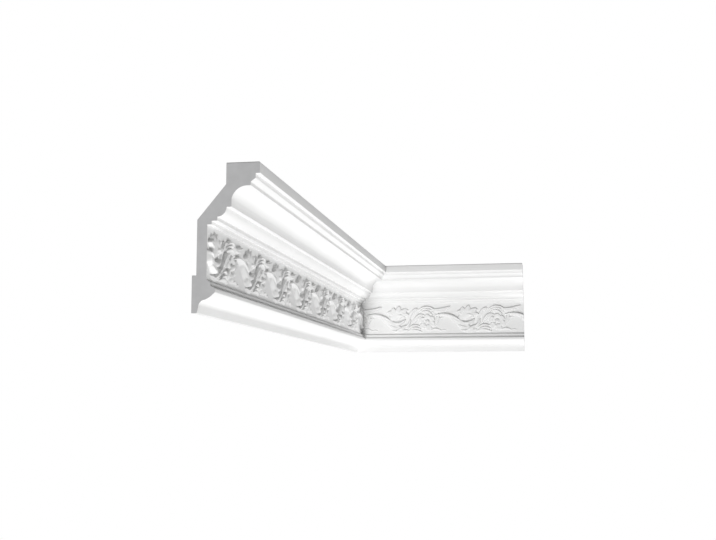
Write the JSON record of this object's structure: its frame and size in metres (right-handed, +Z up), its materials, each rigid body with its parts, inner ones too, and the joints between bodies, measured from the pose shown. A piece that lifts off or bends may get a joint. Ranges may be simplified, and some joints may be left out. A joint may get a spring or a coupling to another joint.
{
  "type": "carved cornice moulding corner",
  "caption": "White cornice moulding with a carved leaf-and-flower frieze: a long and a short length mitred to an inside wall corner, cut square at their free ends.",
  "frame": {"origin": "middle of the bounding box, at the underside the corner stands on", "axes": "+Z up towards the ceiling, +Y along the long length towards the wall corner, +X out of the long length's wall and along the short length"},
  "size_m": [0.307, 0.912, 0.15],
  "materials": {
    "moulding": "dense polyurethane foam with a factory-primed matt white skin, greyer on its cut ends"
  },
  "bodies": {
    "root": {"long_length": "moulding", "short_length": "moulding"}
  },
  "joints": []
}
